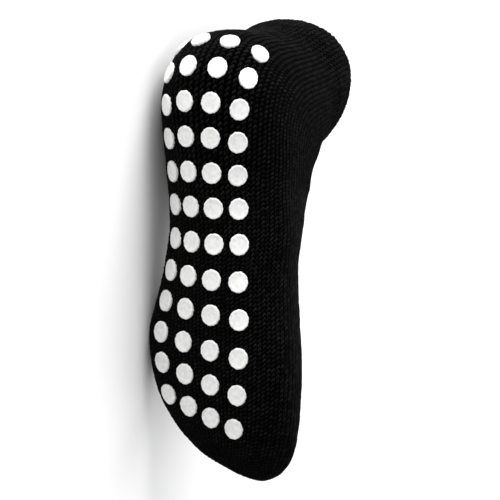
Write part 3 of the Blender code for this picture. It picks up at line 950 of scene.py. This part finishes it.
silicone = gripMaterial()
pattern = flatGrip()
pattern.data.materials.clear()
pattern.data.materials.append(silicone)
half = 0.5 * (gripLook["perRow"] - 1)
for number, (along, middle, pitch) in enumerate(gripRows, start=1):
    for column in range(gripLook["perRow"]):
        offset = (middle + (column - half) * pitch) * form["ballWidth"]
        grip = pattern.copy()
        grip.data = pattern.data.copy()
        grip.name = grip.data.name = f"grip{number:02d}{'abcd'[column]}"
        bpy.context.collection.objects.link(grip)
        layGrip(grip, along * form["footLength"], offset, 10 * number + column)
        outwards(grip)
        onlySelected(grip)
        bpy.ops.object.shade_smooth_by_angle(angle=math.radians(gripLook["smoothAngle"]))
        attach(grip, "root")
        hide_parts(f"grip_r{number:02d}_c{column + 1}")
bpy.data.objects.remove(pattern, do_unlink=True)
print("grips: laid on the sole,", len(grip.data.polygons), "faces each")


# studio: pale floor, white surroundings and large soft lights
studio = {
    "floorSize": 9.0,
    "floorColour": (0.90, 0.90, 0.90),
    "floorRoughness": 0.85,
    "floorSpecular": 0.1,
    "surround": 0.30,
    "aim": (0.0, 0.0, 0.04),
    "lights": {              # place, size, watts
        "above": ((0.0, 0.5, 2.2), 2.2, 9.0),
        "soleSide": ((0.1, -1.9, 0.45), 1.6, 8.0),
        "overToe": ((0.15, -0.9, 1.7), 1.4, 5.0),
        "heelSide": ((-1.9, 0.0, 0.6), 1.4, 84.0),
        "cuffSide": ((-0.8, 1.4, 0.9), 1.0, 14.0),
        "instepSide": ((1.2, 1.5, 0.6), 1.5, 24.0),
    },
}
nothingSelected()
bpy.ops.mesh.primitive_plane_add(size=studio["floorSize"], location=(0.0, 0.0, 0.0))
floor = bpy.context.object
floor.name = "floor"
material, _, _, surface = newMaterial("paleFloor")
surface.inputs["Base Color"].default_value = (*studio["floorColour"], 1.0)
surface.inputs["Roughness"].default_value = studio["floorRoughness"]
surface.inputs["Specular IOR Level"].default_value = studio["floorSpecular"]
floor.data.materials.append(material)

world = bpy.data.worlds.new("studio")
bpy.context.scene.world = world
world.use_nodes = True
world.node_tree.nodes["Background"].inputs[0].default_value = (1.0, 1.0, 1.0, 1.0)
world.node_tree.nodes["Background"].inputs[1].default_value = studio["surround"]
for name, (place, size, power) in studio["lights"].items():
    lamp = bpy.data.lights.new(name, "AREA")
    lamp.size = size
    lamp.energy = power
    light = bpy.data.objects.new(name, lamp)
    light.location = place
    facing = Vector(studio["aim"]) - Vector(place)
    light.rotation_euler = facing.to_track_quat("-Z", "Y").to_euler()
    bpy.context.collection.objects.link(light)
bpy.context.scene.view_settings.view_transform = "Standard"

# camera: under the sole, a little from the inner side and the heel, with the heel at the top
camera = {
    "azimuth": -10.8,
    "elevation": 25.1,
    "roll": 0.4,
    "distance": 2.03,
    "pixelsPerMm": 1.70,
    "seen": (0.110, 0.0, 0.045),     # point of the form that the distance runs to
    "aside": (0.028, 0.011),         # how far the camera stands off that point, right and up
    "pixels": 500.0,                 # width of the picture
    "sensor": 36.0,
    "reach": 30.0,
    "everyPoint": 7,                 # the frame is centred on every seventh point of the surface
}
a, e = math.radians(camera["azimuth"]), math.radians(camera["elevation"])
back = Vector((math.sin(a) * math.cos(e), -math.cos(a) * math.cos(e), math.sin(e)))
upward = Vector((-1.0, 0.0, 0.0))
upward = (upward - back * upward.dot(back)).normalized()
right = upward.cross(back)
seen = Vector(camera["seen"]) + Vector(toWorld)
place = seen + back * camera["distance"] + right * camera["aside"][0] + upward * camera["aside"][1]
offset = outer.reshape(-1, 3)[::camera["everyPoint"]] - np.array(place)
depth = -offset @ np.array(back)
across, along = offset @ np.array(right) / depth, offset @ np.array(upward) / depth
aside = float(0.5 * (across.min() + across.max()))
above = float(0.5 * (along.min() + along.max()))
aim = Vector(place) - back + right * aside + upward * above
towards = (place - aim).normalized()
level = (upward - towards * upward.dot(towards)).normalized()
turn = Matrix.Rotation(math.radians(camera["roll"]), 3, towards)
level = turn @ level
side = level.cross(towards)
view = Matrix((side, level, towards)).transposed().to_4x4()
lens = bpy.data.cameras.new("camera")
lens.sensor_width = camera["sensor"]
lens.lens = camera["sensor"] * camera["pixelsPerMm"] * 1000.0 * camera["distance"] / camera["pixels"]
lens.clip_end = camera["reach"]
eye = bpy.data.objects.new("camera", lens)
eye.matrix_world = Matrix.Translation(place) @ view
bpy.context.collection.objects.link(eye)
bpy.context.scene.camera = eye
print("studio: floor, lights and camera set")
